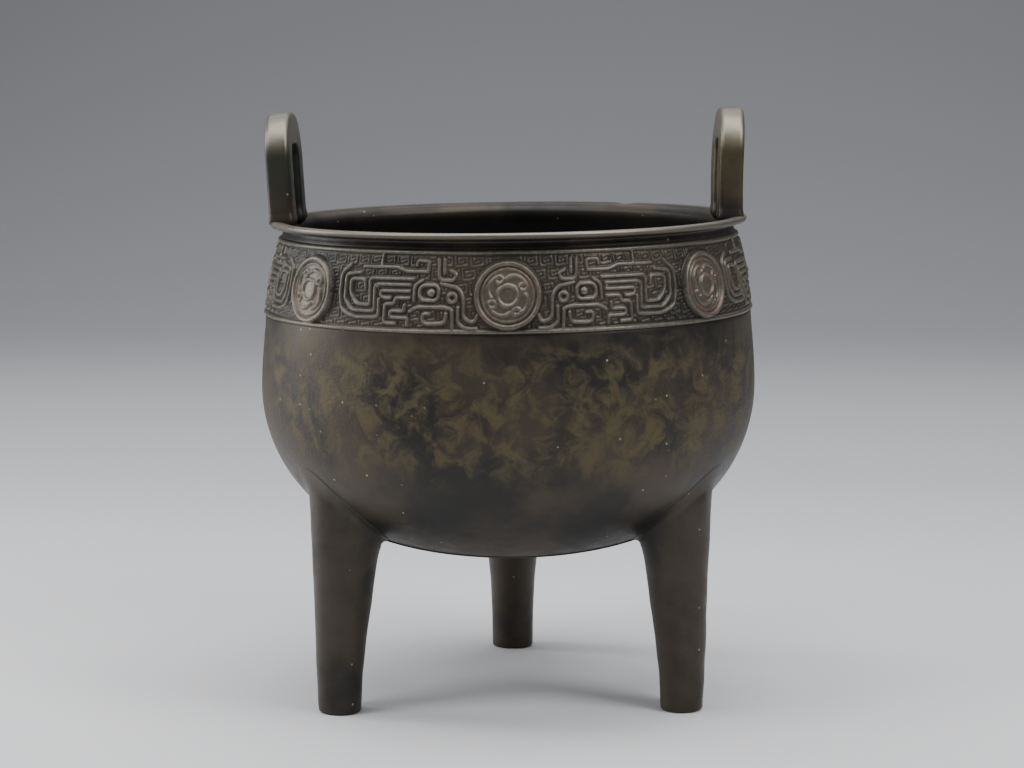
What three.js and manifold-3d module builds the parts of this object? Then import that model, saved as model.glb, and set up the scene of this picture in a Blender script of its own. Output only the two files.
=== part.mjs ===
// A bronze ding: a round tripod vessel with two upright loop handles on its rim and a cast frieze
// of seven whorl roundels and seven dragons round its neck. It is one casting, so it is one solid.
// Millimetres, +Z up, feet on z = 0, vertical axis at the origin, handles on +X and -X.
import * as THREE from "three";
import { mergeVertices } from "three/addons/utils/BufferGeometryUtils.js";
import Module from "manifold-3d";

// Driving dimensions.
const bellyRadius = 91.9;
const bellyZ = 116.5; // height of the widest ring
const neckRadius = 83; // outside, where the lip turns out
const neckZ = 175.4;
const bottomZ = 53.8; // underside of the bowl on the axis
const wall = 3.4;
const lipRadius = 88.3;
const lipTopZ = 178.7;
const overallZ = 217.8; // before the rim's slope

const bowlSides = 56;
const unitCount = 7; // roundels, and the dragons between them
const friezeTurn = 2.3; // degrees that legs and frieze stand turned from the handles

// The casting is a little out of level: above its widest part it rises towards +X.
const slope = { rise: 0.0135, from: 100, full: 150 };

const legRadius = 72.3; // from the axis to the middle of a foot
const legTurns = [-56, 64, 181]; // degrees from the front, towards +X
const legSides = 14;
// Level stations up a leg: height, shift of the middle from legRadius, radial half width and
// tangential half width.
const legStations = [
  [0, 0, 6.6, 6.9],
  [1.2, 0, 7.7, 8.1],
  [28, -0.7, 9.5, 8.9],
  [42, -1.7, 10.8, 10.3],
];
// Stations that lie along the bowl: depth under its surface, then as above. The last is in the wall.
const legRoot = [
  [8, -2.6, 12.6, 12.2],
  [3, -2.8, 13.9, 13.4],
  [0.8, -3, 15.2, 15.2],
  [-2.8, -3.4, 15.4, 15.8],
];

const handle = {
  width: 40, // over both arms, along the rim
  strap: 12, // width of an arm, along the rim
  depth: 8.9, // thickness, across the rim
  corner: 17, // outer radius of the shoulders
  cornerSteps: 4,
  bevel: 1.5,
  flare: 0.5, // widening where it stands on the lip
  flareHeight: 2.4,
  overlap: 1, // how far its full section sinks into the lip
  root: 3, // depth of its foot, which narrows into the wall
  rootOuter: 6.4, // how far the foot steps in from the outer face
  rootInner: 1,
};

// Each handle: turn round the rim from the front towards +X, distance from the axis to the outer
// face at the rim, degrees that it leans outwards, and how far its arms bow inwards.
const handles = [
  { turn: 92.9, outerFace: 85.6, lean: 1.9, bow: 0.6 },
  { turn: -90.9, outerFace: 86.6, lean: 3.6, bow: 0 },
];

const frieze = {
  unrollRadius: 90, // mm across the frieze are arcs at this radius
  middleZ: 157.6,
  lowLine: 145.2, // heights of the two border lines
  highLine: 172,
  line: 1.8, // width of the border lines
  rise: 0.9, // their height over the neck
};

const roundel = {
  radius: 11.6,
  sides: 14,
  // From the rim inwards: radius over the roundel's, and height over the neck.
  profile: [
    [0.98, 2],
    [0.85, 2.1],
    [0.78, 1.2],
    [0.34, 1.6],
    [0.28, 2.5],
    [0, 1.9],
  ],
};

// Raised strokes: width, height over the neck, depth of their root, and spacing of their stations.
const relief = { width: 2, rise: 1, root: 0.8, step: 6 };

// A dragon seen from outside with its head on the left, as strokes through points in mm across
// from its middle and up from the middle of the frieze.
const dragonStrokes = {
  horn: [[-15.4, 11.6], [-15.9, 5.4], [-20.6, 4.8], [-21.4, 8]],
  snout: [[-19.6, 1.2], [-23.6, -0.2], [-25, -6.4], [-28.6, -9.2]],
  jaw: [[-19.2, -5.8], [-18.2, -9.4], [-11.2, -9.6], [-10.4, -6]],
  belly: [[-5.2, -0.6], [3.6, -1], [4.6, -9.4], [0.4, -9.8]],
  backAndTail: [[-6.4, 5], [8.4, 5], [9, -5.8], [18, -6.6], [22.4, -2], [21.6, 4.6], [14.6, 4.8]],
};
const dragonEye = { across: -12.4, up: 0.8, width: 6.8, height: 5, rise: 1.5 };

const wasm = await Module();
wasm.setup();

const radians = THREE.MathUtils.degToRad;

// A closed geometry as a manifold-3d solid.
function solid(geometry) {
  const bare = geometry.index ? geometry.toNonIndexed() : geometry.clone();
  bare.deleteAttribute("normal");
  bare.deleteAttribute("uv");
  const merged = mergeVertices(bare, 1e-4);
  return new wasm.Manifold(
    new wasm.Mesh({
      numProp: 3,
      vertProperties: new Float32Array(merged.attributes.position.array),
      triVerts: new Uint32Array(merged.index.array),
    }),
  );
}

function geometryOf(body) {
  const mesh = body.getMesh();
  const geometry = new THREE.BufferGeometry();
  geometry.setAttribute("position", new THREE.BufferAttribute(mesh.vertProperties, 3));
  geometry.setIndex(new THREE.BufferAttribute(mesh.triVerts, 1));
  return geometry;
}

function union(bodies) {
  return bodies.reduce((whole, next) => whole.add(next));
}

// A lathe profile of [radius, z] points, from the axis to the axis, turned about +Z.
function turned(points, sides) {
  const profile = points.map(([radius, z]) => new THREE.Vector2(radius, z));
  const geometry = new THREE.LatheGeometry(profile, sides);
  geometry.rotateX(Math.PI / 2);
  return geometry;
}

// The outside of the bowl, from the axis below to the neck below the lip, as three curves.
function bowlCurves() {
  const bottom = new THREE.CubicBezierCurve(
    new THREE.Vector2(0, bottomZ),
    new THREE.Vector2(19.3, bottomZ),
    new THREE.Vector2(40.5, 55),
    new THREE.Vector2(57.4, 63.4),
  );
  const flank = new THREE.CubicBezierCurve(
    new THREE.Vector2(57.4, 63.4),
    new THREE.Vector2(80.8, 74.7),
    new THREE.Vector2(bellyRadius, bellyZ - 21),
    new THREE.Vector2(bellyRadius, bellyZ),
  );
  const neck = new THREE.CubicBezierCurve(
    new THREE.Vector2(bellyRadius, bellyZ),
    new THREE.Vector2(bellyRadius, bellyZ + 12),
    new THREE.Vector2(neckRadius + 6.3, neckZ - 14),
    new THREE.Vector2(neckRadius, neckZ),
  );
  return { bottom, flank, neck };
}

const curves = bowlCurves();

// The parameter at which a curve's x or y, which grows along it, reaches a value, by halving.
function parameterAt(curve, axis, value) {
  let low = 0;
  let high = 1;
  for (let step = 0; step < 24; step += 1) {
    const middle = (low + high) / 2;
    if (curve.getPoint(middle)[axis] < value) low = middle;
    else high = middle;
  }
  return (low + high) / 2;
}

// Outside radius of the bowl's neck at height z.
function neckRadiusAt(z) {
  return curves.neck.getPoint(parameterAt(curves.neck, "y", z)).x;
}

// Height of the bowl's underside at a radius.
function undersideZAt(radius) {
  const curve = radius < curves.flank.v0.x ? curves.bottom : curves.flank;
  return curve.getPoint(parameterAt(curve, "x", radius)).y;
}

// Points along a curve pushed sideways by offset, towards the hollow when it is positive.
function pointsAlong(curve, count, offset) {
  return Array.from({ length: count + 1 }, (_, i) => {
    const at = i / count;
    const point = curve.getPoint(at);
    const along = curve.getTangent(at);
    return [point.x - along.y * offset, point.y + along.x * offset];
  });
}

// A border line's four rings, standing on the neck at height z.
function borderRings(z) {
  const half = frieze.line / 2;
  const flank = 0.25;
  return [
    [z - half, 0],
    [z - half + flank, frieze.rise],
    [z + half - flank, frieze.rise],
    [z + half, 0],
  ].map(([height, rise]) => [neckRadiusAt(height) + rise, height]);
}

function plainRings(heights) {
  return heights.map((z) => [neckRadiusAt(z), z]);
}

function bowlOutside() {
  const lip = [
    [lipRadius - 0.8, neckZ + 0.6],
    [lipRadius, neckZ + 1.5],
    [lipRadius - 0.2, lipTopZ - 0.7],
    [lipRadius - 1.1, lipTopZ],
  ];
  return turned(
    [
      ...pointsAlong(curves.bottom, 3, 0),
      ...pointsAlong(curves.flank, 5, 0).slice(1),
      ...plainRings([126, 136]),
      ...borderRings(frieze.lowLine),
      ...plainRings([frieze.middleZ]),
      ...borderRings(frieze.highLine),
      [neckRadius, neckZ],
      ...lip,
      [0, lipTopZ],
    ],
    bowlSides,
  );
}

// The hollow, which follows the outside at the wall's thickness and opens through the mouth.
function bowlHollow() {
  const inside = [
    ...pointsAlong(curves.bottom, 2, wall),
    ...pointsAlong(curves.flank, 4, wall).slice(1),
    ...pointsAlong(curves.neck, 3, wall).slice(1, -1),
  ];
  inside[0][0] = 0;
  const mouth = [
    [neckRadius - wall + 0.8, neckZ + 0.6],
    [neckRadius - wall + 1.6, lipTopZ - 0.4],
    [neckRadius - wall + 1.9, lipTopZ + 0.01],
    [neckRadius - wall + 1.9, overallZ + 10],
    [0, overallZ + 10],
  ];
  return turned([...inside, ...mouth], bowlSides);
}

// A closed skin over rings of points, each ring in order round the same way, capped at both ends.
function lofted(rings) {
  const sides = rings[0].length;
  const positions = [];
  const triangle = (a, b, c) => positions.push(...a, ...b, ...c);
  for (let level = 0; level < rings.length - 1; level += 1) {
    const lower = rings[level];
    const upper = rings[level + 1];
    for (let i = 0; i < sides; i += 1) {
      const next = (i + 1) % sides;
      triangle(lower[i], lower[next], upper[next]);
      triangle(lower[i], upper[next], upper[i]);
    }
  }
  const first = rings[0];
  const last = rings[rings.length - 1];
  for (let i = 1; i < sides - 1; i += 1) {
    triangle(first[0], first[i + 1], first[i]);
    triangle(last[0], last[i], last[i + 1]);
  }
  const geometry = new THREE.BufferGeometry();
  geometry.setAttribute("position", new THREE.Float32BufferAttribute(positions, 3));
  return geometry;
}

// A leg's oval section: shift moves its middle out from legRadius, and zAt gives the height of a
// point from its distance to the vessel's axis.
function legSection(shift, radial, tangential, zAt) {
  return Array.from({ length: legSides }, (_, i) => {
    const angle = (i / legSides) * 2 * Math.PI;
    const across = tangential * Math.cos(angle);
    const outward = legRadius + shift + radial * Math.sin(angle);
    return [across, outward, zAt(Math.hypot(across, outward))];
  });
}

// One solid columnar leg. It stands upright, thickens inwards and flares where it meets the bowl.
function leg(turn) {
  const column = legStations.map(([z, ...size]) => legSection(...size, () => z));
  const root = legRoot.map(([under, ...size]) =>
    legSection(...size, (radius) => undersideZAt(radius) - under),
  );
  const geometry = lofted([...column, ...root]);
  geometry.rotateZ(Math.PI + radians(turn));
  return geometry;
}

// Stations along a handle from one foot to the other: place along the rim, height over the rim,
// direction of travel in degrees from straight up, widening, and setbacks of both faces.
function handleStations() {
  const arm = (handle.width - handle.strap) / 2;
  const bend = handle.corner - handle.strap / 2;
  const straight = overallZ - lipTopZ - handle.corner;
  const upright = { y: arm, heading: 0, grow: 0, outerBack: 0, innerBack: 0 };
  const foot = [
    { ...upright, z: -handle.root, outerBack: handle.rootOuter, innerBack: handle.rootInner },
    { ...upright, z: -handle.overlap, grow: handle.flare },
    { ...upright, z: 0.4, grow: handle.flare },
    { ...upright, z: handle.flareHeight },
    { ...upright, z: straight / 2 },
  ];
  const shoulder = Array.from({ length: handle.cornerSteps + 1 }, (_, i) => {
    const heading = (i / handle.cornerSteps) * 90;
    const y = arm - bend + bend * Math.cos(radians(heading));
    const z = straight + bend * Math.sin(radians(heading));
    return { ...upright, y, z, heading };
  });
  const rising = [...foot, ...shoulder];
  const falling = rising
    .map((station) => ({ ...station, y: -station.y, heading: 180 - station.heading }))
    .reverse();
  return [...rising, ...falling];
}

// A handle's section at a station: a rectangle across the strap with its corners cut off.
function handleSection({ y, z, heading, grow, outerBack, innerBack }, bow) {
  const half = handle.strap / 2 + grow;
  const inwards = bow * Math.sin((Math.PI * Math.max(z, 0)) / (overallZ - lipTopZ));
  const outer = grow / 2 - outerBack - inwards;
  const inner = -handle.depth - grow / 2 + innerBack - inwards;
  const cut = Math.min(handle.bevel, (outer - inner) / 3);
  const corners = [
    [outer, -half + cut],
    [outer, half - cut],
    [outer - cut, half],
    [inner + cut, half],
    [inner, half - cut],
    [inner, -half + cut],
    [inner + cut, -half],
    [outer - cut, -half],
  ];
  const cos = Math.cos(radians(heading));
  const sin = Math.sin(radians(heading));
  return corners.map(([across, sideways]) => [across, y + sideways * cos, z + sideways * sin]);
}

// An upright loop handle on the rim.
function rimHandle({ turn, outerFace, lean, bow }) {
  const geometry = lofted(handleStations().map((station) => handleSection(station, bow)));
  geometry.rotateY(radians(lean));
  geometry.translate(outerFace, 0, lipTopZ);
  geometry.rotateZ(radians(turn - 90));
  return solid(geometry);
}

// Lifts the points of a geometry by the slope of the rim.
function outOfLevel(geometry) {
  const position = geometry.attributes.position;
  for (let i = 0; i < position.count; i += 1) {
    const z = position.getZ(i);
    const share = THREE.MathUtils.clamp((z - slope.from) / (slope.full - slope.from), 0, 1);
    position.setZ(i, z + position.getX(i) * slope.rise * share);
  }
  geometry.computeVertexNormals();
  return geometry;
}

// Maps a point of the unrolled frieze to the bowl: across in mm round the neck from the middle of
// a unit, z in mm up, rise in mm out of the surface.
function onNeck(unitTurn, across, z, rise) {
  const radius = neckRadiusAt(z) + rise;
  const angle = radians(unitTurn) + across / frieze.unrollRadius;
  return [radius * Math.sin(angle), -radius * Math.cos(angle), z];
}

// Bends a geometry made in (across, up, out of the surface) about the frieze onto the neck.
function ontoNeck(geometry, unitTurn) {
  const position = geometry.attributes.position;
  for (let i = 0; i < position.count; i += 1) {
    const z = frieze.middleZ + position.getY(i);
    position.setXYZ(i, ...onNeck(unitTurn, position.getX(i), z, position.getZ(i)));
  }
  return geometry;
}

// A whorl roundel: a rim, a channel, a low dome and a hub ring.
function roundelDisc(unitTurn) {
  const front = roundel.profile.map(([share, rise]) => [share * roundel.radius, rise]);
  const profile = [[0, -2.4], [roundel.radius, -2.4], ...front];
  const points = profile.map(([radius, rise]) => new THREE.Vector2(radius, rise));
  const geometry = new THREE.LatheGeometry(points, roundel.sides);
  geometry.rotateX(Math.PI / 2);
  return solid(ontoNeck(geometry, unitTurn));
}

// A raised stroke of even width along a smooth line through points, rise over the neck.
function stroke(points, rise, mirror) {
  const line = new THREE.SplineCurve(points.map(([x, y]) => new THREE.Vector2(x * mirror, y)));
  const steps = Math.max(2, Math.round(line.getLength() / relief.step));
  const edge = (side) =>
    Array.from({ length: steps + 1 }, (_, i) => {
      const point = line.getPointAt(i / steps);
      const along = line.getTangentAt(i / steps);
      const half = (side * relief.width) / 2;
      return new THREE.Vector2(point.x - along.y * half, point.y + along.x * half);
    });
  const shape = new THREE.Shape([...edge(-1), ...edge(1).reverse()]);
  return extrudedOut(shape, rise);
}

function extrudedOut(shape, rise) {
  const depth = relief.root + rise;
  const geometry = new THREE.ExtrudeGeometry(shape, { depth, bevelEnabled: false });
  geometry.translate(0, 0, -relief.root);
  return geometry;
}

// Neighbouring dragons are mirrored, so that heads and tails meet in turn on both sides of the
// front roundel. The count is odd, so the two at the back look the same way.
function mirrorOf(unit) {
  const even = unit % 2 === 0;
  return even === unit < unitCount / 2 ? 1 : -1;
}

// A dragon between two roundels.
function dragon(unitTurn, mirror) {
  const strokes = Object.values(dragonStrokes).map((points) => stroke(points, relief.rise, mirror));
  const { across, up, width, height, rise } = dragonEye;
  const outline = new THREE.EllipseCurve(across * mirror, up, width / 2, height / 2);
  const eye = extrudedOut(new THREE.Shape(outline.getPoints(8).slice(0, -1)), rise);
  return union([...strokes, eye].map((geometry) => solid(ontoNeck(geometry, unitTurn))));
}

const group = new THREE.Group();
const bronze = new THREE.MeshStandardMaterial({ color: 0x3f3c33, roughness: 0.5, metalness: 0.85 });

const bowl = solid(bowlOutside());
const legs = legTurns.map((turn) => solid(leg(turn)));
const unitPitch = 360 / unitCount;
const units = Array.from({ length: unitCount }, (_, i) => {
  const turn = friezeTurn + i * unitPitch;
  return union([roundelDisc(turn), dragon(turn + unitPitch / 2, mirrorOf(i))]);
});
const hollowed = union([bowl, ...legs, ...units]).subtract(solid(bowlHollow()));
const cast = union([hollowed, ...handles.map(rimHandle)]);
const vessel = new THREE.Mesh(outOfLevel(geometryOf(cast)), bronze);
vessel.name = "ding_vessel";
group.add(vessel);

export default group;
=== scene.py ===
import math
import bmesh
import bpy
import numpy as np
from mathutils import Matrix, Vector, noise


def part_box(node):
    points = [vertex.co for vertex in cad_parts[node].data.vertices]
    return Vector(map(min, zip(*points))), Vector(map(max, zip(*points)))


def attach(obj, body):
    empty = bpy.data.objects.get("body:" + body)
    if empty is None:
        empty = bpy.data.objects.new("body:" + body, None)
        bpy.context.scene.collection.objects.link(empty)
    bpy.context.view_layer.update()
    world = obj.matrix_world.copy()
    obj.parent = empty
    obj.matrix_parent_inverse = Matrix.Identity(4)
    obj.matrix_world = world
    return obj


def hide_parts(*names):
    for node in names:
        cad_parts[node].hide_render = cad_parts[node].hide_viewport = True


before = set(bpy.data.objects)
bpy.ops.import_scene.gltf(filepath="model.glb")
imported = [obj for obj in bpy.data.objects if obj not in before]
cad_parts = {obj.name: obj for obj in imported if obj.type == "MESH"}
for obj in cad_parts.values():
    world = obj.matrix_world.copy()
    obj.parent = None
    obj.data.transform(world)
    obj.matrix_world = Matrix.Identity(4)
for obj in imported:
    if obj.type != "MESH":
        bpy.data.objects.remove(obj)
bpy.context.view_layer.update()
castingLow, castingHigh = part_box("ding_vessel")

# Sizes below are the vessel's own, in millimetres.
bowl = {
    "bellyRadius": 91.9,
    "bellyZ": 116.5,
    "neckRadius": 83.0,
    "neckZ": 175.4,
    "bottomZ": 53.8,
    "wall": 3.4,
    "lipRadius": 88.3,
    "lipTopZ": 178.7,
    "sides": 288,
    "rise": 0.0135,  # the rim's slope towards +X, from riseFrom up to riseFull
    "riseFrom": 100.0,
    "riseFull": 150.0,
    "dents": 0.3,  # how deep the casting's broad unevenness goes
    "dentSize": 34.0,
    "dentsBelow": 138.0,  # height where the unevenness dies out
    "chipTurn": 149.0,  # degrees round from the front to the chip in the rim
    "chipRadius": 87.6,
    "chipWide": 3.2,
    "chipDeep": 0.9,
}
mm = (castingHigh.x - castingLow.x) / (2 * bowl["bellyRadius"])  # the belly's width gives the scale

viewpoint = {
    "azimuth": 2.4,  # degrees round from the front
    "distance": 1040.0,
    "height": 249.4,
    "aimHeight": 115.8,
    "aimAside": 1.4,
    "lens": 98.5,
}


def srgb(code):
    # sRGB hex to the linear colour that a shader takes
    parts = [int(code[i:i + 2], 16) / 255 for i in (1, 3, 5)]
    return [c / 12.92 if c <= 0.04045 else ((c + 0.055) / 1.055) ** 2.4 for c in parts] + [1.0]


def makeObject(name, points, faces, marks=None):
    # points in millimetres, as an array of rows; marks are numbers kept on the points
    mesh = bpy.data.meshes.new(name)
    mesh.from_pydata([tuple(p) for p in np.asarray(points) * mm], [], faces)
    for mark, values in (marks or {}).items():
        layer = mesh.attributes.new(mark, "FLOAT", "POINT")
        layer.data.foreach_set("value", np.asarray(values, np.float32))
    mesh.polygons.foreach_set("use_smooth", [True] * len(mesh.polygons))
    mesh.update()
    made = bpy.data.objects.new(name, mesh)
    bpy.context.scene.collection.objects.link(made)
    return made


def placeCamera():
    turn = math.radians(viewpoint["azimuth"])
    outward = Vector((math.sin(turn), -math.cos(turn), 0))
    aside = Vector((math.cos(turn), math.sin(turn), 0))
    data = bpy.data.cameras.new("camera")
    data.lens = viewpoint["lens"]
    data.sensor_width = 36
    data.clip_start = 0.01
    data.clip_end = 20
    seen = bpy.data.objects.new("camera", data)
    bpy.context.scene.collection.objects.link(seen)
    seen.location = outward * viewpoint["distance"] * mm + Vector((0, 0, viewpoint["height"] * mm))
    aim = aside * viewpoint["aimAside"] * mm + Vector((0, 0, viewpoint["aimHeight"] * mm))
    seen.rotation_mode = "QUATERNION"
    seen.rotation_quaternion = (aim - seen.location).to_track_quat("-Z", "Y")
    bpy.context.scene.camera = seen


def bezier(p0, p1, p2, p3, count):
    # points along a cubic curve, as rows
    t = np.linspace(0, 1, count)[:, None]
    a, b, c, d = (np.array(p, float) for p in (p0, p1, p2, p3))
    return (1 - t) ** 3 * a + 3 * (1 - t) ** 2 * t * b + 3 * (1 - t) * t ** 2 * c + t ** 3 * d


def bowlOutline(counts=(40, 60, 120)):
    # outside of the bowl from the axis below to the neck, as rows of radius and height
    belly, bellyZ = bowl["bellyRadius"], bowl["bellyZ"]
    neck, neckZ = bowl["neckRadius"], bowl["neckZ"]
    bottom = bezier((0, bowl["bottomZ"]), (19.3, bowl["bottomZ"]), (40.5, 55), (57.4, 63.4), counts[0])
    flank = bezier((57.4, 63.4), (80.8, 74.7), (belly, bellyZ - 21), (belly, bellyZ), counts[1])
    rise = bezier((belly, bellyZ), (belly, bellyZ + 12), (neck + 6.3, neckZ - 14), (neck, neckZ), counts[2])
    return bottom, flank, rise


fineOutline = bowlOutline((200, 300, 400))
neckCurve = fineOutline[2]
undersideCurve = np.vstack([fineOutline[0], fineOutline[1][1:]])


def neckRadiusAt(z):
    return np.interp(z, neckCurve[:, 1], neckCurve[:, 0])


def undersideAt(radius):
    return np.interp(radius, undersideCurve[:, 0], undersideCurve[:, 1])


def pushedIn(points, depth):
    # a profile moved towards the hollow by depth
    along = np.gradient(points, axis=0)
    along /= np.linalg.norm(along, axis=1)[:, None]
    return points + np.column_stack([-along[:, 1], along[:, 0]]) * depth


def ease(x):
    x = np.clip(x, 0, 1)
    return x * x * (3 - 2 * x)


def outOfLevel(points):
    # the rim's slope, which starts above the widest part
    lifted = np.array(points, float)
    share = np.clip((lifted[:, 2] - bowl["riseFrom"]) / (bowl["riseFull"] - bowl["riseFrom"]), 0, 1)
    lifted[:, 2] += lifted[:, 0] * bowl["rise"] * share
    return lifted


# layout of the neck band, shared by the body and the relief
band = {
    "units": 7,
    "turn": 2.3,  # degrees round from the front to the middle of a roundel
    "unrollRadius": 90.0,
    "middleZ": 157.6,
    "lowLine": 145.2,
    "highLine": 172.0,
    "line": 1.3,
    "margin": 1.0,  # how far the band reaches past its border lines
    "recess": 1.2,
    "cell": 0.32,
    "frontUnits": 4,  # the band is made as a front and a back stretch
    "firstFront": 5,
}
unitPitch = 2 * math.pi * band["unrollRadius"] / band["units"]


def revolve(profile, sides):
    # a closed skin from a profile that starts and ends on the axis
    rings = profile[1:-1]
    turn = np.arange(sides) / sides * 2 * math.pi
    x = rings[:, 0][:, None] * np.sin(turn)
    y = -rings[:, 0][:, None] * np.cos(turn)
    z = np.repeat(rings[:, 1][:, None], sides, axis=1)
    points = np.stack([x, y, z], axis=2).reshape(-1, 3)
    points = np.vstack([points, [0, 0, profile[0][1]], [0, 0, profile[-1][1]]])
    faces = []
    for ring in range(len(rings) - 1):
        for i in range(sides):
            j = (i + 1) % sides
            a, b = ring * sides, (ring + 1) * sides
            faces.append((a + i, a + j, b + j, b + i))
    last = (len(rings) - 1) * sides
    start, end = len(rings) * sides, len(rings) * sides + 1
    for i in range(sides):
        j = (i + 1) % sides
        faces.append((start, j, i))
        faces.append((end, last + i, last + j))
    return points, faces


def loft(rings):
    # a closed skin over rings of points, capped at both ends
    sides = len(rings[0])
    points = np.vstack(rings)
    faces = []
    for ring in range(len(rings) - 1):
        for i in range(sides):
            j = (i + 1) % sides
            a, b = ring * sides, (ring + 1) * sides
            faces.append((a + i, a + j, b + j, b + i))
    faces.append(tuple(reversed(range(sides))))
    faces.append(tuple((len(rings) - 1) * sides + i for i in range(sides)))
    return points, faces


def bowlProfile():
    bottom, flank, rise = bowlOutline()
    recessed = rise.copy()
    inBand = (rise[:, 1] > band["lowLine"] - 0.4) & (rise[:, 1] < band["highLine"] + 0.4)
    recessed[inBand, 0] -= band["recess"]
    lipOut = bowl["lipRadius"]
    lipTop = bowl["lipTopZ"]
    underLip = bezier((bowl["neckRadius"], bowl["neckZ"]), (bowl["neckRadius"] + 0.4, bowl["neckZ"] + 0.7),
                      (lipOut - 2.6, lipTop - 2.5), (lipOut - 0.9, lipTop - 2.3), 8)
    edge = bezier((lipOut - 0.9, lipTop - 2.3), (lipOut + 0.25, lipTop - 2.0),
                  (lipOut + 0.25, lipTop - 0.1), (lipOut - 1.2, lipTop), 12)
    mouth = bowl["neckRadius"] - bowl["wall"]
    inward = bezier((lipOut - 1.2, lipTop), (lipOut - 3, lipTop), (mouth + 1.6, lipTop + 0.1),
                    (mouth + 0.2, lipTop - 3.6), 16)
    inside = np.vstack([bottom, flank[1:], rise[1:-3]])
    inside = pushedIn(inside, bowl["wall"])[::-1][::4]
    inside[-1] = (0, bowl["bottomZ"] + bowl["wall"])
    outside = np.vstack([bottom[:-1:2], flank[:-1:2], recessed[::2], underLip[1:]])
    lip = np.vstack([edge[1:], inward[1:]])
    return np.vstack([outside, lip, inside]), len(outside), len(lip)


def buildBowl():
    # the bowl with its broad unevenness and the chip in its rim
    profile, outsideRows, lipRows = bowlProfile()
    points, faces = revolve(profile, bowl["sides"])
    rows = np.repeat(np.arange(1, len(profile) - 1), bowl["sides"])
    rows = np.concatenate([rows, [0, len(profile) - 1]])
    radius = np.hypot(points[:, 0], points[:, 1])
    swell = np.array([noise.noise(Vector(p) / bowl["dentSize"]) for p in points])
    inBand = ease((points[:, 2] - bowl["dentsBelow"]) / 6) * (rows < outsideRows + lipRows)
    pull = bowl["dents"] * (0.5 + 0.5 * swell) * (1 - inBand) * ease(radius / 30)
    turn = math.radians(bowl["chipTurn"])
    chipX, chipY = bowl["chipRadius"] * math.sin(turn), -bowl["chipRadius"] * math.cos(turn)
    away = np.hypot(points[:, 0] - chipX, points[:, 1] - chipY)
    onLip = (rows >= outsideRows - 3) & (rows < outsideRows + lipRows)
    chip = np.exp(-(away / bowl["chipWide"]) ** 2) * onLip
    pull += chip * bowl["chipDeep"]
    points[:, :2] *= (1 - pull / np.maximum(radius, 1))[:, None]
    points[:, 2] -= chip * bowl["chipDeep"] * 0.8
    # inside marks the hollow, painted near-black as shade and made rougher
    inside = ease((rows - outsideRows - lipRows + 4) / 8)
    # a band along the rim top painted paler: painted highlight, with more metal there
    wearAndSheen = ease(1 - np.abs(rows - outsideRows - 9) / 9) * (1 - chip)
    return points, faces, {"inside": inside, "wearAndSheen": wearAndSheen, "chip": chip}


leg = {
    "radius": 72.3,
    "turns": [-56, 64, 181],
    "sides": 56,
    # height, shift of the middle, radial half width, tangential half width
    "stations": [(0, 0, 7.7, 8.1), (14, 0, 8.4, 8.3), (28, -0.7, 9.5, 8.9), (42, -1.7, 10.8, 10.3),
                 (54, -2.6, 12.5, 12.1), (66, -2.9, 14.0, 13.8)],
    "top": 58.0,
    "drapeFrom": 40.0,  # height where the leg starts to follow the bowl's underside
    "fillet": 3.6,
    "footEdge": 1.2,
    "uneven": 0.22,  # how deep the casting's unevenness goes, and its size
    "unevenSize": 9.0,
}


def legRings(turn):
    footRings, columnRings, rootRings = 6, 44, 9
    heights, shift, radial, tangential = np.array(leg["stations"], float).T
    angle = np.arange(leg["sides"]) / leg["sides"] * 2 * math.pi
    rings = []

    def section(level, grow, zOf):
        middle = leg["radius"] + np.interp(level, heights, shift)
        across = (np.interp(level, heights, tangential) + grow) * np.cos(angle)
        outward = middle + (np.interp(level, heights, radial) + grow) * np.sin(angle)
        return np.column_stack([across, outward, zOf(np.hypot(across, outward))])

    edge = leg["footEdge"]
    for a in np.linspace(0, math.pi / 2, footRings):
        raised = edge * (1 - math.cos(a))
        rings.append(section(0, -edge * (1 - math.sin(a)), lambda r: np.full_like(r, raised)))
    top, drapeFrom = leg["top"], leg["drapeFrom"]
    drape = leg["fillet"]
    for level in np.linspace(3, top, columnRings):
        share = max(0, (level - drapeFrom) / (top - drapeFrom)) ** 1.5
        rings.append(section(level, 0, lambda r: (1 - share) * level + share * (undersideAt(r) - drape)))
    for a in np.linspace(0.12, math.pi / 2, rootRings):
        grow = drape * (1 - math.cos(a))
        sink = drape * (1 - math.sin(a))
        rings.append(section(top, grow, lambda r: undersideAt(r) - sink))
    rings.append(section(top, drape + 0.3, lambda r: undersideAt(r) + 1.6))
    spin = math.pi + math.radians(turn)
    cos, sin = math.cos(spin), math.sin(spin)
    rotate = np.array([[cos, sin, 0], [-sin, cos, 0], [0, 0, 1]])
    rings = [ring @ rotate for ring in rings]
    for ring in rings[footRings:footRings + columnRings]:
        for point in ring:
            swell = leg["uneven"] * noise.noise(Vector(point) / leg["unevenSize"])
            point[:2] += swell * point[:2] / leg["radius"]
    return rings


handle = {
    "width": 40.0,
    "strap": 12.0,
    "depth": 8.9,
    "corner": 17.0,
    "round": 1.9,
    "topZ": 217.8,
    "flare": 0.5,
    "flareHeight": 2.4,
    "root": 3.0,
    "rootOuter": 6.4,
    "rootInner": 1.0,
    # turn round the rim, distance of the outer face, degrees of lean, inward bow of the arms
    "pair": [(92.9, 85.6, 1.9, 0.6), (-90.9, 86.6, 3.6, 0.0)],
}


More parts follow.
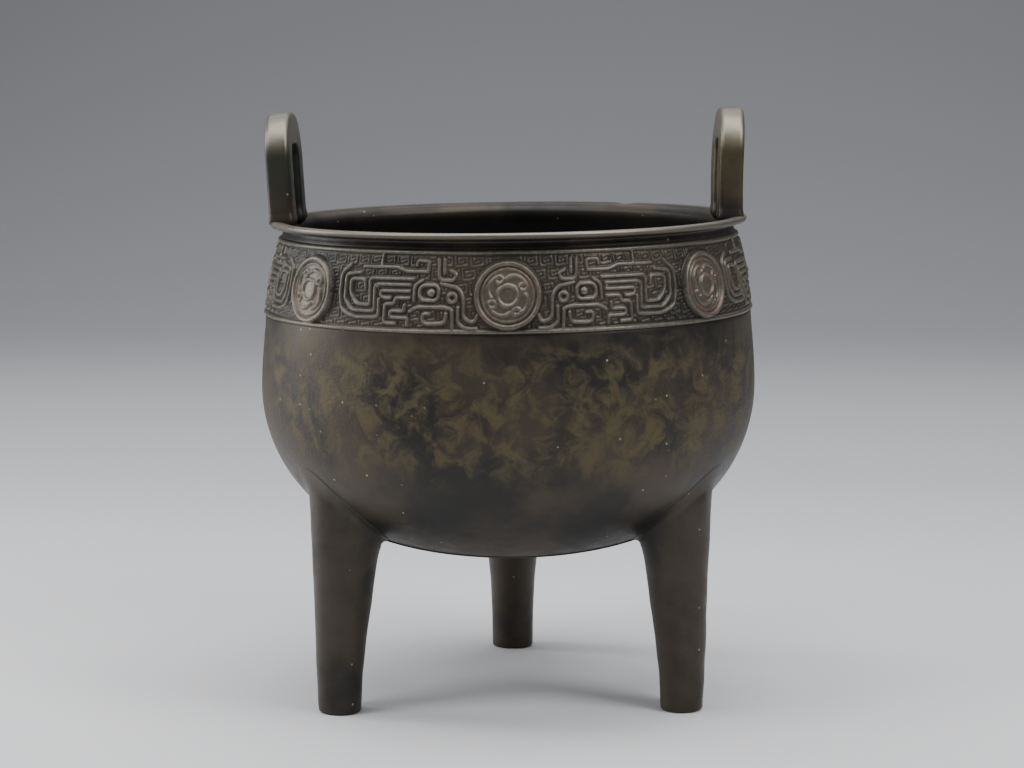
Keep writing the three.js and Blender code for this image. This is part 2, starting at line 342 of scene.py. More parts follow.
def handleRings(turn, outerFace, lean, bow):
    arm = (handle["width"] - handle["strap"]) / 2
    bend = handle["corner"] - handle["strap"] / 2
    tall = handle["topZ"] - bowl["lipTopZ"]
    straight = tall - handle["corner"]
    # place along the rim, height, heading, widening, setbacks of the outer and inner faces
    stations = [(arm, -handle["root"], 0, 0, handle["rootOuter"], handle["rootInner"]),
                (arm, -1.0, 0, handle["flare"], 0, 0)]
    for a in np.linspace(0, math.pi / 2, 6):
        rise = 0.2 + handle["flareHeight"] * math.sin(a)
        stations.append((arm, rise, 0, handle["flare"] * (1 - math.sin(a)), 0, 0))
    for z in np.linspace(handle["flareHeight"] + 2, straight - 1.5, 14):
        stations.append((arm, z, 0, 0, 0, 0))
    for heading in np.linspace(0, 90, 16):
        a = math.radians(heading)
        stations.append((arm - bend + bend * math.cos(a), straight + bend * math.sin(a), heading, 0, 0, 0))
    stations += [(-s[0], s[1], 180 - s[2], *s[3:]) for s in reversed(stations[:-1])]
    rings = []
    for y, z, heading, grow, outerBack, innerBack in stations:
        half = handle["strap"] / 2 + grow
        inwards = bow * math.sin(math.pi * max(z, 0) / tall)
        outer = grow * 0.5 - outerBack - inwards
        inner = -handle["depth"] - grow * 0.5 + innerBack - inwards
        corner = min(handle["round"], (outer - inner) / 2.2)
        ring = []
        for cx, cy, start in ((outer - corner, half - corner, 0), (inner + corner, half - corner, 90),
                              (inner + corner, -half + corner, 180), (outer - corner, -half + corner, 270)):
            for step in np.linspace(0, 90, 7):
                a = math.radians(start + step)
                ring.append((cx + corner * math.cos(a), cy + corner * math.sin(a)))
        cos, sin = math.cos(math.radians(heading)), math.sin(math.radians(heading))
        ring = np.array([(u, y + v * cos, z + v * sin) for u, v in ring])
        tilt = math.radians(lean)
        x = outerFace + ring[:, 0] * math.cos(tilt) + ring[:, 2] * math.sin(tilt)
        up = bowl["lipTopZ"] - ring[:, 0] * math.sin(tilt) + ring[:, 2] * math.cos(tilt)
        spin = math.radians(turn - 90)
        across = ring[:, 1]
        rings.append(np.column_stack([x * math.cos(spin) - across * math.sin(spin),
                                      x * math.sin(spin) + across * math.cos(spin), up]))
    return rings


seam = {"thick": 0.42, "middleRadius": 45.0, "endRadius": 57.0}


def seamRings(start, end):
    # a mould line on the underside from one leg to the next
    rings = []
    for t in np.linspace(0, 1, 40):
        turn = math.radians(start + (end - start) * (0.06 + 0.88 * t))
        radius = seam["middleRadius"] + (seam["endRadius"] - seam["middleRadius"]) * (2 * t - 1) ** 2
        slope = (undersideAt(radius + 1) - undersideAt(radius - 1)) / 2
        outward = np.array([math.sin(turn), -math.cos(turn), 0])
        level = outward + np.array([0, 0, slope])
        level /= np.linalg.norm(level)
        down = outward * slope - np.array([0, 0, 1])
        down /= np.linalg.norm(down)
        middle = outward * radius + np.array([0, 0, undersideAt(radius)])
        angles = np.arange(8) / 8 * 2 * math.pi
        rings.append(np.array([middle + seam["thick"] * (math.cos(a) * level + math.sin(a) * down)
                               for a in angles]))
    return rings


def joined(shells):
    # shells of points, faces and marks as one
    points, faces, offset = [], [], 0
    marks = {"inside": [], "wearAndSheen": [], "chip": []}
    for shellPoints, shellFaces, shellMarks in shells:
        points.append(shellPoints)
        faces += [tuple(i + offset for i in face) for face in shellFaces]
        offset += len(shellPoints)
        for mark, values in marks.items():
            values.append(shellMarks.get(mark, np.zeros(len(shellPoints))))
    return np.vstack(points), faces, {mark: np.concatenate(values) for mark, values in marks.items()}


def buildBody():
    shells = [buildBowl()]
    for turn in leg["turns"]:
        shells.append((*loft(legRings(turn)), {}))
    for placing in handle["pair"]:
        points, faces = loft(handleRings(*placing))
        # the handle tops painted paler: painted highlight, with more metal there
        rubAndSheen = ease((points[:, 2] - handle["topZ"] + 16) / 10) * 0.8
        shells.append((points, faces, {"wearAndSheen": rubAndSheen}))
    turns = leg["turns"]
    for start, end in zip(turns, [*turns[1:], turns[0] + 360]):
        shells.append((*loft(seamRings(start, end)), {}))
    points, faces, marks = joined(shells)
    return makeObject("vessel_body", outOfLevel(points), faces, marks)


relief = {
    "line": 1.15,  # width of a raised line
    "soft": 0.42,  # width of its flanks
    "height": 0.85,
    "ground": 0.34,  # height of the thunder pattern
    "dragonClear": 0.9,  # how far the thunder pattern keeps from the other relief
    "roundelClear": 0.7,
    "borderClear": 1.2,
    "borderHeight": 0.9,
    "backDepth": 1.6,  # how far the band reaches into the wall
    "groundPitch": 1.3,
    "tileWide": 5.6,
    "tileHigh": 4.6,
}

# A dragon with its head on the left: lines through corners in mm from its middle, with the radius
# that eases the corners.
dragonLines = {
    "horn": (1.4, [(-15.4, 12.2), (-15.9, 5.2), (-21.2, 4.9), (-22.3, 7.2), (-20.0, 8.2)]),
    "hornInside": (0.8, [(-17.5, 12.2), (-17.7, 7.4)]),
    "trunk": (2.2, [(-16.8, 3.9), (-23.2, 2.6), (-25.0, -1.6), (-25.0, -8.0), (-28.6, -9.3),
                    (-29.8, -7.0)]),
    "trunkInside": (1.4, [(-23.0, -4.2), (-23.0, -9.6), (-26.0, -11.4), (-29.6, -11.3)]),
    "mouth": (1.2, [(-21.2, -11.4), (-20.8, -4.6), (-17.3, -4.0), (-8.0, -4.1), (-5.4, -5.6)]),
    "jaw": (1.8, [(-18.9, -6.2), (-18.4, -9.6), (-10.6, -9.8), (-10.2, -6.3), (-12.8, -6.4)]),
    "cheek": (1.6, [(-9.6, 4.9), (-7.0, 3.4), (-6.9, -1.9)]),
    "back": (1.6, [(-6.4, 5.4), (11.5, 5.4), (10.5, -3.9), (16.6, -3.8), (19.6, 0.0), (19.9, 4.9),
                   (13.7, 4.9), (13.2, 2.2)]),
    "flank": (1.6, [(-4.9, 3.3), (9.2, 3.3), (8.5, -5.9), (18.4, -6.0), (22.0, -2.4), (22.4, 6.4),
                    (15.6, 7.2)]),
    "tail": (2.0, [(7.1, -1.9), (6.6, -8.0), (17.4, -8.2), (23.0, -6.4), (24.6, -1.2), (24.8, 6.8),
                   (21.0, 9.6)]),
    "curl": (1.3, [(-4.9, 1.2), (6.6, 1.2), (6.0, -1.2), (2.4, -1.3)]),
    "belly": (1.2, [(-4.9, -1.1), (0.4, -1.1), (0.6, -3.2), (4.4, -3.2), (4.3, -9.9), (0.0, -10.0)]),
    "claw": (1.0, [(-3.4, -3.6), (-3.2, -5.6), (2.2, -5.6), (2.0, -7.8), (-4.6, -7.9), (-4.8, -10.4)]),
    "crest": (0.8, [(-11.6, 8.0), (-3.2, 8.0), (0.6, 9.4), (14.6, 9.2)]),
    "crestStem": (0.6, [(7.0, 9.6), (7.0, 13.2)]),
    "crestHook": (0.8, [(-11.6, 8.0), (-11.8, 11.6), (-7.4, 11.7), (-7.2, 10.0)]),
}
dragonEye = {"middle": (-12.4, 0.8), "wide": 7.0, "high": 5.2, "corner": 2.0, "pupil": 1.6, "shift": -0.8}
dragonNose = {"middle": (-20.8, -0.9), "radius": 1.5}

roundel = {
    "radius": 11.6,
    "rim": 1.5,
    "rimHeight": 2.1,
    "fieldHeight": 0.95,
    "dome": 0.85,
    "innerRing": 9.0,
    "hub": 3.5,
    "commas": 4,
    "curlAt": 6.1,  # the commas' round heads, from the middle
    "curlRadius": 1.2,
    "tailAt": 7.5,
    "tailBow": 3.2,
    "sweep": 1.2,  # how far round a comma's tail runs, in radians
}


def rounded(corners, radius):
    # a polyline whose corners are eased with short curves
    points = [np.array(corners[0], float)]
    for before, corner, after in zip(corners, corners[1:], corners[2:]):
        before, corner, after = (np.array(p, float) for p in (before, corner, after))
        back, ahead = before - corner, after - corner
        reach = min(radius, np.linalg.norm(back) / 2, np.linalg.norm(ahead) / 2)
        start = corner + back / np.linalg.norm(back) * reach
        end = corner + ahead / np.linalg.norm(ahead) * reach
        for t in np.linspace(0, 1, 6):
            points.append((1 - t) ** 2 * start + 2 * (1 - t) * t * corner + t ** 2 * end)
    points.append(np.array(corners[-1], float))
    return np.array(points)


def distanceTo(line, u, v):
    nearest = np.full(u.shape, 1e9)
    for (ax, ay), (bx, by) in zip(line[:-1], line[1:]):
        dx, dy = bx - ax, by - ay
        span = max(dx * dx + dy * dy, 1e-12)
        t = np.clip(((u - ax) * dx + (v - ay) * dy) / span, 0, 1)
        nearest = np.minimum(nearest, np.hypot(u - ax - t * dx, v - ay - t * dy))
    return nearest


def ridge(distance, width, height):
    # a line with a flat top and soft flanks
    return height * ease((width / 2 + relief["soft"] / 2 - np.abs(distance)) / relief["soft"])


def thunderPattern(u, v):
    # square spirals, tile by tile
    wide, high, pitch = relief["tileWide"], relief["tileHigh"], relief["groundPitch"]
    row = np.floor(v / high)
    x = np.mod(u + wide / 2 * np.mod(row, 2), wide) - wide / 2
    y = np.mod(v, high) - high / 2
    reach = np.maximum(np.abs(x) - (wide - high) / 2, np.abs(y))
    winding = reach + pitch * np.arctan2(y, x) / (2 * math.pi)
    wave = np.abs(np.mod(winding / pitch, 1) - 0.5) * 2
    edge = np.minimum(wide / 2 - np.abs(x), high / 2 - np.abs(y))
    return ease((wave - 0.35) / 0.4) * ease(edge / 0.35)


def dragonHeight(u, v):
    height = np.zeros_like(u)
    nearest = np.full(u.shape, 1e9)
    for soften, corners in dragonLines.values():
        away = distanceTo(rounded(corners, soften), u, v)
        height = np.maximum(height, ridge(away, relief["line"], relief["height"]))
        nearest = np.minimum(nearest, away)
    eyeU, eyeV = dragonEye["middle"]
    halfU, halfV, corner = dragonEye["wide"] / 2, dragonEye["high"] / 2, dragonEye["corner"]
    outU = np.maximum(np.abs(u - eyeU) - halfU + corner, 0)
    outV = np.maximum(np.abs(v - eyeV) - halfV + corner, 0)
    lid = np.hypot(outU, outV) - corner
    height = np.maximum(height, ridge(lid, relief["line"], 1.0))
    pupil = np.hypot(u - eyeU - dragonEye["shift"], v - eyeV) / dragonEye["pupil"]
    height = np.maximum(height, 1.35 * np.sqrt(np.clip(1 - pupil ** 2, 0, 1)))
    nose = np.hypot(u - dragonNose["middle"][0], v - dragonNose["middle"][1]) - dragonNose["radius"]
    height = np.maximum(height, ridge(nose, relief["line"], relief["height"]))
    nearest = np.minimum(nearest, np.minimum(lid, nose))
    return height, nearest


def roundelHeight(u, v):
    radius = np.hypot(u, v)
    out, rim = roundel["radius"], roundel["rim"]
    soft = relief["soft"]
    field = roundel["fieldHeight"] + roundel["dome"] * (1 - (radius / out) ** 2)
    height = field * ease((out - 0.3 - radius) / soft)
    rimLine = ease((rim / 2 + soft - np.abs(radius - out + rim / 2)) / (soft * 1.6))
    height = np.maximum(height, roundel["rimHeight"] * rimLine)
    lines = ridge(radius - roundel["innerRing"], 0.75, 0.5)
    lines = np.maximum(lines, ridge(radius - roundel["hub"], 0.9, 0.7))
    for k in range(roundel["commas"]):
        start = 2 * math.pi * k / roundel["commas"] + 0.5
        curlU, curlV = roundel["curlAt"] * math.cos(start), roundel["curlAt"] * math.sin(start)
        curl = np.hypot(u - curlU, v - curlV) - roundel["curlRadius"]
        lines = np.maximum(lines, ridge(curl, 0.75, 0.6))
        sweep = np.linspace(0, roundel["sweep"], 14)
        bow = roundel["tailAt"] - roundel["tailBow"] * (sweep / roundel["sweep"] - 0.25) ** 2
        tail = np.column_stack([bow * np.cos(start + sweep), bow * np.sin(start + sweep)])
        lines = np.maximum(lines, ridge(distanceTo(tail, u, v), 0.85, 0.6))
    inside = ease((out - rim - radius) / soft)
    return height + lines * inside, radius - out


def buildUnit(name, mirror):
    # a dragon between two half roundels, as a strip round the neck with a back, open at its ends
    low, high = band["lowLine"] - band["margin"], band["highLine"] + band["margin"]
    across = np.linspace(0, unitPitch, int(unitPitch / band["cell"]))
    up = np.linspace(low, high, int((high - low) / band["cell"]))
    u, v = np.meshgrid(across, up - band["middleZ"], indexing="ij")
    dragon, dragonGap = dragonHeight((u - unitPitch / 2) * mirror, v)
    fromRoundel = np.where(u < unitPitch / 2, u, u - unitPitch)
    disc, discGap = roundelHeight(fromRoundel, v)
    lowGap = v - (band["lowLine"] - band["middleZ"])
    highGap = (band["highLine"] - band["middleZ"]) - v
    free = np.minimum.reduce([dragonGap - relief["dragonClear"], discGap - relief["roundelClear"],
                              lowGap - relief["borderClear"], highGap - relief["borderClear"]])
    ground = relief["ground"] * thunderPattern(u, v) * ease(free / 0.4)
    border = relief["borderHeight"]
    borders = np.maximum(ridge(lowGap, band["line"], border), ridge(highGap, band["line"], border))
    height = np.maximum.reduce([dragon, disc, ground, borders])
    surface = neckRadiusAt(band["middleZ"] + v)
    turn = u / band["unrollRadius"]

    def bent(radii):
        return np.stack([radii * np.sin(turn), -radii * np.cos(turn), band["middleZ"] + v], axis=2)

    front, behind = bent(surface + height), bent(surface - relief["backDepth"])
    wide, tall = u.shape
    points = np.vstack([front.reshape(-1, 3), behind[:, 0], behind[:, -1]])
    faces = []
    for i in range(wide - 1):
        for j in range(tall - 1):
            a = i * tall + j
            faces.append((a, a + tall, a + tall + 1, a + 1))
    lowRow, highRow = wide * tall, wide * tall + wide
    for i in range(wide - 1):
        a, b = i * tall, i * tall + tall - 1
        faces.append((lowRow + i, lowRow + i + 1, a + tall, a))
        faces.append((b, b + tall, highRow + i + 1, highRow + i))
        faces.append((highRow + i, highRow + i + 1, lowRow + i + 1, lowRow + i))
    spare = np.zeros(2 * wide)
    # raised lines are painted paler in the material: painted highlight on the ridges
    raised = np.clip(height - disc * (discGap < 0) * 0.6, 0, 1).reshape(-1)
    whorl = ease(-discGap / 0.6).reshape(-1)
    marks = {"raised": np.concatenate([raised, spare]), "whorl": np.concatenate([whorl, spare])}
    return makeObject(name, points, faces, marks)


def addNode(tree, kind, inputs=None, **settings):
    # adds a node, sets its properties, and links or sets its inputs
    node = tree.nodes.new(kind)
    for key, value in settings.items():
        setattr(node, key, value)
    for key, value in (inputs or {}).items():
        if isinstance(value, bpy.types.NodeSocket):
            tree.links.new(value, node.inputs[key])
        else:
            node.inputs[key].default_value = value
    return node


def friezeTree():
    # sets units round the neck; odd ones are mirrored, and past half the count even ones are
    tree = bpy.data.node_groups.new("neckFrieze", "GeometryNodeTree")
    face = tree.interface
    for name, kind in (("Unit", "NodeSocketObject"), ("Mirrored Unit", "NodeSocketObject"),
                       ("Count", "NodeSocketInt"), ("First", "NodeSocketInt"), ("Shown", "NodeSocketInt"),
                       ("Turn", "NodeSocketFloat"), ("Finish", "NodeSocketMaterial")):
        face.new_socket(name, in_out="INPUT", socket_type=kind)
    face.new_socket("Geometry", in_out="OUTPUT", socket_type="NodeSocketGeometry")
    given = addNode(tree, "NodeGroupInput").outputs
    plain = addNode(tree, "GeometryNodeObjectInfo", {"Object": given["Unit"], "As Instance": True})
    mirrored = addNode(tree, "GeometryNodeObjectInfo",
                       {"Object": given["Mirrored Unit"], "As Instance": True})
    both = addNode(tree, "GeometryNodeGeometryToInstance", {0: mirrored.outputs["Geometry"]})
    tree.links.new(plain.outputs["Geometry"], both.inputs[0])
    places = addNode(tree, "GeometryNodeMeshLine", {"Count": given["Shown"], "Offset": (0, 0, 0)})
    index = addNode(tree, "GeometryNodeInputIndex").outputs[0]
    later = addNode(tree, "ShaderNodeMath", {0: index, 1: given["First"]}, operation="ADD").outputs[0]
    unit = addNode(tree, "ShaderNodeMath", {0: later, 1: given["Count"]}, operation="MODULO").outputs[0]
    odd = addNode(tree, "ShaderNodeMath", {0: unit, 1: 2.0}, operation="MODULO").outputs[0]
    half = addNode(tree, "ShaderNodeMath", {0: given["Count"], 1: 2.0}, operation="DIVIDE").outputs[0]
    late = addNode(tree, "ShaderNodeMath", {0: unit, 1: half}, operation="GREATER_THAN").outputs[0]
    differ = addNode(tree, "ShaderNodeMath", {0: odd, 1: late}, operation="SUBTRACT").outputs[0]
    pick = addNode(tree, "ShaderNodeMath", {0: differ}, operation="ABSOLUTE").outputs[0]
    pitch = addNode(tree, "ShaderNodeMath", {0: 2 * math.pi, 1: given["Count"]},
                    operation="DIVIDE").outputs[0]
    angle = addNode(tree, "ShaderNodeMath", {0: unit, 1: pitch, 2: given["Turn"]},
                    operation="MULTIPLY_ADD").outputs[0]
    spin = addNode(tree, "ShaderNodeCombineXYZ", {"Z": angle}).outputs[0]
    placed = addNode(tree, "GeometryNodeInstanceOnPoints",
                     {"Points": places.outputs[0], "Instance": both.outputs[0], "Pick Instance": True,
                      "Instance Index": pick, "Rotation": spin})
    real = addNode(tree, "GeometryNodeRealizeInstances", {0: placed.outputs[0]})
    welded = addNode(tree, "GeometryNodeMergeByDistance",
                     {"Geometry": real.outputs[0], "Distance": 0.02 * mm})
    coated = addNode(tree, "GeometryNodeSetMaterial",
                     {"Geometry": welded.outputs[0], "Material": given["Finish"]})
    addNode(tree, "NodeGroupOutput", {"Geometry": coated.outputs[0]})
    return tree


def closeEnds(mesh):
    # closes the two open ends of a stretch of frieze
    edit = bmesh.new()
    edit.from_mesh(mesh)
    bmesh.ops.holes_fill(edit, edges=[edge for edge in edit.edges if edge.is_boundary], sides=0)
    bmesh.ops.recalc_face_normals(edit, faces=edit.faces)
    edit.to_mesh(mesh)
    edit.free()


def buildFrieze(finish):
    units = [buildUnit("frieze_unit", 1), buildUnit("frieze_unit_mirrored", -1)]
    tree = friezeTree()
    count, front = band["units"], band["frontUnits"]
    stretches = {"neck_frieze_front": (band["firstFront"], front),
                 "neck_frieze_back": ((band["firstFront"] + front) % count, count - front)}
    made = []
    for name, (first, shown) in stretches.items():
        carrier = makeObject("frieze_carrier", np.zeros((1, 3)), [])
        modifier = carrier.modifiers.new("frieze", "NODES")
        modifier.node_group = tree
        values = {"Unit": units[0], "Mirrored Unit": units[1], "Count": count, "First": first,
                  "Shown": shown, "Turn": math.radians(band["turn"]), "Finish": finish}
        for item in tree.interface.items_tree:
            if item.in_out == "INPUT":
                modifier[item.identifier] = values[item.name]
        evaluated = carrier.evaluated_get(bpy.context.evaluated_depsgraph_get())
        mesh = bpy.data.meshes.new_from_object(evaluated)
        mesh.name = name
        closeEnds(mesh)
        points = np.zeros(len(mesh.vertices) * 3)
        mesh.vertices.foreach_get("co", points)
        mesh.vertices.foreach_set("co", (outOfLevel(points.reshape(-1, 3) / mm) * mm).reshape(-1))
        mesh.update()
        strip = bpy.data.objects.new(name, mesh)
        bpy.context.scene.collection.objects.link(strip)
        made.append(strip)
        bpy.data.objects.remove(carrier, do_unlink=True)
    for spare in units:
        bpy.data.objects.remove(spare, do_unlink=True)
    return made


patina = {
    "black": "#23211e",
    "brown": "#3f372d",
    "olive": "#554d36",
    "green": "#2a3029",
    "red": "#54382b",
    # the pale colour below paints highlight on ridges, rim top and handle tops
    "wearAndSheen": "#8f8a7d",
    "speck": "#9a9482",
    "chip": "#b08d80",
    # near-black below paints shade inside the bowl
    "inside": "#141413",
}


def grain(size):
    # noise scale for features of a size in millimetres
    return 1 / (size * mm)


def castBronze(name):
    # Cast tin bronze under a dark brown patina: satin, cloudy with olive on the belly, finely pitted
    # below the frieze; a paler colour paints highlight on ridges, rim and handle tops, and near-black
    # paints shade inside.
    material = bpy.data.materials.new(name)
    material.use_nodes = True
    tree = material.node_tree
    tree.nodes.clear()
    place = addNode(tree, "ShaderNodeTexCoord").outputs["Object"]
    at = addNode(tree, "ShaderNodeSeparateXYZ", {0: place}).outputs
    cloud = addNode(tree, "ShaderNodeTexNoise", {"Vector": place, "Scale": grain(38), "Detail": 5.0,
                                                 "Roughness": 0.6}).outputs["Fac"]
    mottle = addNode(tree, "ShaderNodeTexNoise", {"Vector": place, "Scale": grain(8), "Detail": 6.0,
                                                  "Roughness": 0.65, "Distortion": 0.6}).outputs["Fac"]
    crumbs = addNode(tree, "ShaderNodeTexNoise", {"Vector": place, "Scale": grain(1.3), "Detail": 4.0,
                                                  "Roughness": 0.6}).outputs["Fac"]
    marks = {}
    for mark in ("inside", "wearAndSheen", "chip", "raised", "whorl"):
        marks[mark] = addNode(tree, "ShaderNodeAttribute", attribute_name=mark).outputs["Fac"]

    # colour: black and brown clouds, olive patches on the belly
    clouds = addNode(tree, "ShaderNodeMapRange", {"Value": cloud, "From Min": 0.38, "From Max": 0.62},
                     interpolation_type="SMOOTHSTEP").outputs[0]
    colour = addNode(tree, "ShaderNodeMix", {0: clouds, 6: srgb(patina["black"]), 7: srgb(patina["brown"])},
                     data_type="RGBA").outputs[2]
    bellyLow = addNode(tree, "ShaderNodeMapRange", {"Value": at["Z"], "From Min": 84 * mm,
                                                    "From Max": 104 * mm},
                       interpolation_type="SMOOTHSTEP").outputs[0]
    bellyHigh = addNode(tree, "ShaderNodeMapRange", {"Value": at["Z"], "From Min": 150 * mm,
                                                     "From Max": 128 * mm},
                        interpolation_type="SMOOTHSTEP").outputs[0]
    patches = addNode(tree, "ShaderNodeMapRange", {"Value": mottle, "From Min": 0.42, "From Max": 0.66},
                      interpolation_type="SMOOTHSTEP").outputs[0]
    belly = addNode(tree, "ShaderNodeMath", {0: bellyLow, 1: bellyHigh}, operation="MULTIPLY").outputs[0]
    olive = addNode(tree, "ShaderNodeMath", {0: belly, 1: patches}, operation="MULTIPLY").outputs[0]
    colour = addNode(tree, "ShaderNodeMix", {0: olive, 6: colour, 7: srgb(patina["olive"])},
                     data_type="RGBA").outputs[2]

    # handles: green-black on -X, olive brown on +X
    aboveRim = addNode(tree, "ShaderNodeMapRange", {"Value": at["Z"], "From Min": 181 * mm,
                                                    "From Max": 190 * mm},
                       interpolation_type="SMOOTHSTEP").outputs[0]
    leftSide = addNode(tree, "ShaderNodeMath", {0: at["X"], 1: 0.0}, operation="LESS_THAN").outputs[0]
    handleColour = addNode(tree, "ShaderNodeMix", {0: leftSide, 6: srgb(patina["olive"]),
                                                   7: srgb(patina["green"])}, data_type="RGBA").outputs[2]
    handlePart = addNode(tree, "ShaderNodeMath", {0: aboveRim, 1: mottle}, operation="MULTIPLY").outputs[0]
    handlePart = addNode(tree, "ShaderNodeMath", {0: handlePart, 1: 1.3}, operation="MULTIPLY",
                         use_clamp=True).outputs[0]
    colour = addNode(tree, "ShaderNodeMix", {0: handlePart, 6: colour, 7: handleColour},
                     data_type="RGBA").outputs[2]

    # red-brown roundels; the frieze's raised lines, the rim top and the handle tops in a paler colour:
    # painted highlight, with more metal there too
    reddish = addNode(tree, "ShaderNodeMath", {0: marks["whorl"], 1: patches},
                      operation="MULTIPLY").outputs[0]
    colour = addNode(tree, "ShaderNodeMix", {0: reddish, 6: colour, 7: srgb(patina["red"])},
                     data_type="RGBA").outputs[2]
    rubAndSheen = addNode(tree, "ShaderNodeMath", {0: marks["raised"], 1: crumbs},
                     operation="MULTIPLY").outputs[0]
    wearAndSheen = addNode(tree, "ShaderNodeMath", {0: rubAndSheen, 1: marks["wearAndSheen"]}, operation="ADD",
                   use_clamp=True).outputs[0]
    colour = addNode(tree, "ShaderNodeMix", {0: wearAndSheen, 6: colour, 7: srgb(patina["wearAndSheen"])},
                     data_type="RGBA").outputs[2]

    # scattered pale specks
    cells = addNode(tree, "ShaderNodeTexVoronoi", {"Vector": place, "Scale": grain(4.2)})
    dot = addNode(tree, "ShaderNodeMapRange", {"Value": cells.outputs["Distance"], "From Min": 0.13,
                                               "From Max": 0.05}).outputs[0]
    chosen = addNode(tree, "ShaderNodeSeparateColor", {0: cells.outputs["Color"]}).outputs[0]
    chosen = addNode(tree, "ShaderNodeMath", {0: chosen, 1: 0.86}, operation="GREATER_THAN").outputs[0]
    speck = addNode(tree, "ShaderNodeMath", {0: dot, 1: chosen}, operation="MULTIPLY").outputs[0]
    colour = addNode(tree, "ShaderNodeMix", {0: speck, 6: colour, 7: srgb(patina["speck"])},
                     data_type="RGBA").outputs[2]
    colour = addNode(tree, "ShaderNodeMix", {0: marks["chip"], 6: colour, 7: srgb(patina["chip"])},
                     data_type="RGBA").outputs[2]
    # painted shade: near-black inside the bowl
    colour = addNode(tree, "ShaderNodeMix", {0: marks["inside"], 6: colour, 7: srgb(patina["inside"])},
                     data_type="RGBA").outputs[2]

    # satin, smoother on the lower bowl than on the belly, rougher inside; more metal where it is rubbed
    rough = addNode(tree, "ShaderNodeMapRange", {"Value": mottle, "From Min": 0.3, "From Max": 0.7,
                                                 "To Min": 0.36, "To Max": 0.52}).outputs[0]
    rough = addNode(tree, "ShaderNodeMath", {0: belly, 1: 0.1, 2: rough},
                    operation="MULTIPLY_ADD").outputs[0]
    rough = addNode(tree, "ShaderNodeMath", {0: marks["inside"], 1: 0.3, 2: rough},
                    operation="MULTIPLY_ADD").outputs[0]
    metal = addNode(tree, "ShaderNodeMapRange", {"Value": wearAndSheen, "To Min": 0.45, "To Max": 0.95}).outputs[0]

    # pits about a millimetre wide under the frieze, a fine cast grain all over
    pits = addNode(tree, "ShaderNodeMapRange", {"Value": crumbs, "From Min": 0.36, "From Max": 0.56,
                                                "To Min": -1.0, "To Max": 0.0}).outputs[0]
    pitted = addNode(tree, "ShaderNodeMath", {0: pits, 1: belly}, operation="MULTIPLY").outputs[0]
    skin = addNode(tree, "ShaderNodeTexNoise", {"Vector": place, "Scale": grain(2.8), "Detail": 8.0,
                                                "Roughness": 0.7}).outputs["Fac"]
    height = addNode(tree, "ShaderNodeMath", {0: skin, 1: 0.5, 2: pitted},
                     operation="MULTIPLY_ADD").outputs[0]
    bump = addNode(tree, "ShaderNodeBump", {"Height": height, "Strength": 0.5, "Distance": 0.16 * mm})
    shader = addNode(tree, "ShaderNodeBsdfPrincipled",
                     {"Base Color": colour, "Metallic": metal, "Roughness": rough,
                      "Normal": bump.outputs["Normal"]})
    addNode(tree, "ShaderNodeOutputMaterial", {"Surface": shader.outputs["BSDF"]})
    return material


stage = {
    "near": -1500.0,
    "far": 1900.0,
    "tall": 2400.0,
    "bend": 700.0,
    "halfWide": 2600.0,
    "gradeFrom": 60.0,
    "gradeTo": 1750.0,
    # shades: the painted shade's colours from front to back
    "shades": ((0.0, "#dcdde0"), (0.25, "#b3b4b8"), (0.6, "#8a8b8f"), (1.0, "#6a6b6e")),
}


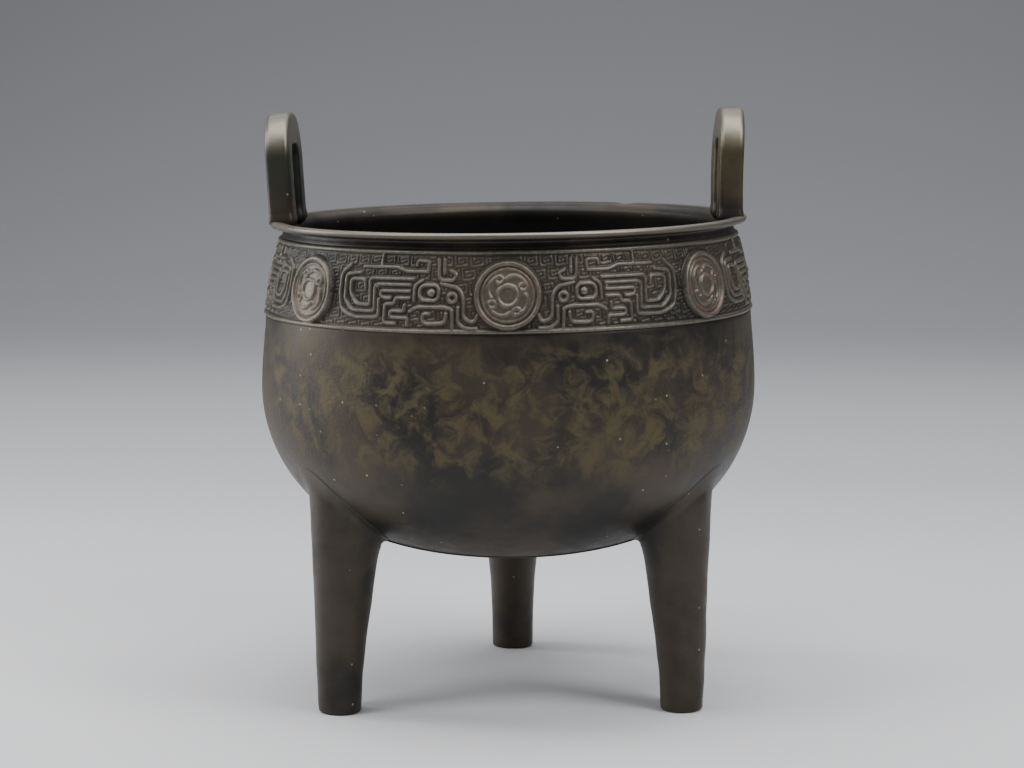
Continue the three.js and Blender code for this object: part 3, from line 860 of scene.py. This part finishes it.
def buildStage():
    # a pale floor that sweeps up into a backdrop, with painted shade that grades it to grey further back
    far, bend = stage["far"], stage["bend"]
    curve = [(stage["near"], 0.0), (far - bend, 0.0)]
    for a in np.linspace(0, math.pi / 2, 16)[1:]:
        curve.append((far - bend + bend * math.sin(a), bend * (1 - math.cos(a))))
    curve.append((far, stage["tall"]))
    points, faces = [], []
    for y, z in curve:
        points += [(-stage["halfWide"], y, z), (stage["halfWide"], y, z)]
    for i in range(len(curve) - 1):
        faces.append((2 * i, 2 * i + 1, 2 * i + 3, 2 * i + 2))
    floor = makeObject("studio_floor", np.array(points), faces)
    # Backdrop paper is matt, so it takes soft shadows and gives no reflections.
    material = bpy.data.materials.new("backdrop paper with painted shade")
    material.use_nodes = True
    tree = material.node_tree
    place = addNode(tree, "ShaderNodeTexCoord").outputs["Object"]
    at = addNode(tree, "ShaderNodeSeparateXYZ", {0: place}).outputs
    # painted shade: the paper darkens from pale near the vessel to grey further back, where the light falls
    # off
    share = addNode(tree, "ShaderNodeMapRange", {"Value": at["Y"], "From Min": stage["gradeFrom"] * mm,
                                                 "From Max": stage["gradeTo"] * mm}).outputs[0]
    shade = addNode(tree, "ShaderNodeValToRGB", {"Fac": share})
    while len(shade.color_ramp.elements) < len(stage["shades"]):
        shade.color_ramp.elements.new(0.5)
    for element, (position, code) in zip(shade.color_ramp.elements, stage["shades"]):
        element.position = position
        element.color = srgb(code)
    shader = tree.nodes["Principled BSDF"]
    tree.links.new(shade.outputs["Color"], shader.inputs["Base Color"])
    shader.inputs["Roughness"].default_value = 0.9
    floor.data.materials.append(material)


softboxes = {
    # place, aim and size in millimetres, and power in watts
    "top softbox": ((0, -100, 1150), (0, 0, 120), (1000, 800), 11),
    "left strip": ((-900, 190, 300), (0, 0, 120), (260, 800), 5),
    "left softbox": ((-760, -470, 900), (0, 0, 120), (420, 500), 5),
    "right softbox": ((740, -480, 900), (0, 0, 120), (420, 500), 6),
    "backdrop light": ((0, 900, 1100), (0, 1500, 100), (1800, 500), 16),
}


def addSoftbox(name, place, aim, size, power):
    data = bpy.data.lights.new(name, "AREA")
    data.shape = "RECTANGLE"
    data.size, data.size_y = size[0] * mm, size[1] * mm
    data.energy = power
    lamp = bpy.data.objects.new(name, data)
    bpy.context.scene.collection.objects.link(lamp)
    lamp.location = Vector(place) * mm
    lamp.rotation_mode = "QUATERNION"
    lamp.rotation_quaternion = (Vector(aim) * mm - lamp.location).to_track_quat("-Z", "Y")


def lightScene():
    world = bpy.data.worlds.new("studio")
    world.use_nodes = True
    world.node_tree.nodes["Background"].inputs["Color"].default_value = srgb("#c8c9cc")
    world.node_tree.nodes["Background"].inputs["Strength"].default_value = 0.3
    bpy.context.scene.world = world
    for name, (place, aim, size, power) in softboxes.items():
        addSoftbox(name, place, aim, size, power)


placeCamera()
buildStage()
lightScene()
print("camera, floor and lights are in place")

bronze = castBronze("cast tin bronze, dark brown patina")
body = buildBody()
body.data.materials.append(bronze)
print("body faces", len(body.data.polygons))
friezes = buildFrieze(bronze)
print("frieze faces", [len(piece.data.polygons) for piece in friezes])
for piece in (body, *friezes):
    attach(piece, "root")
    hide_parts("ding_vessel")
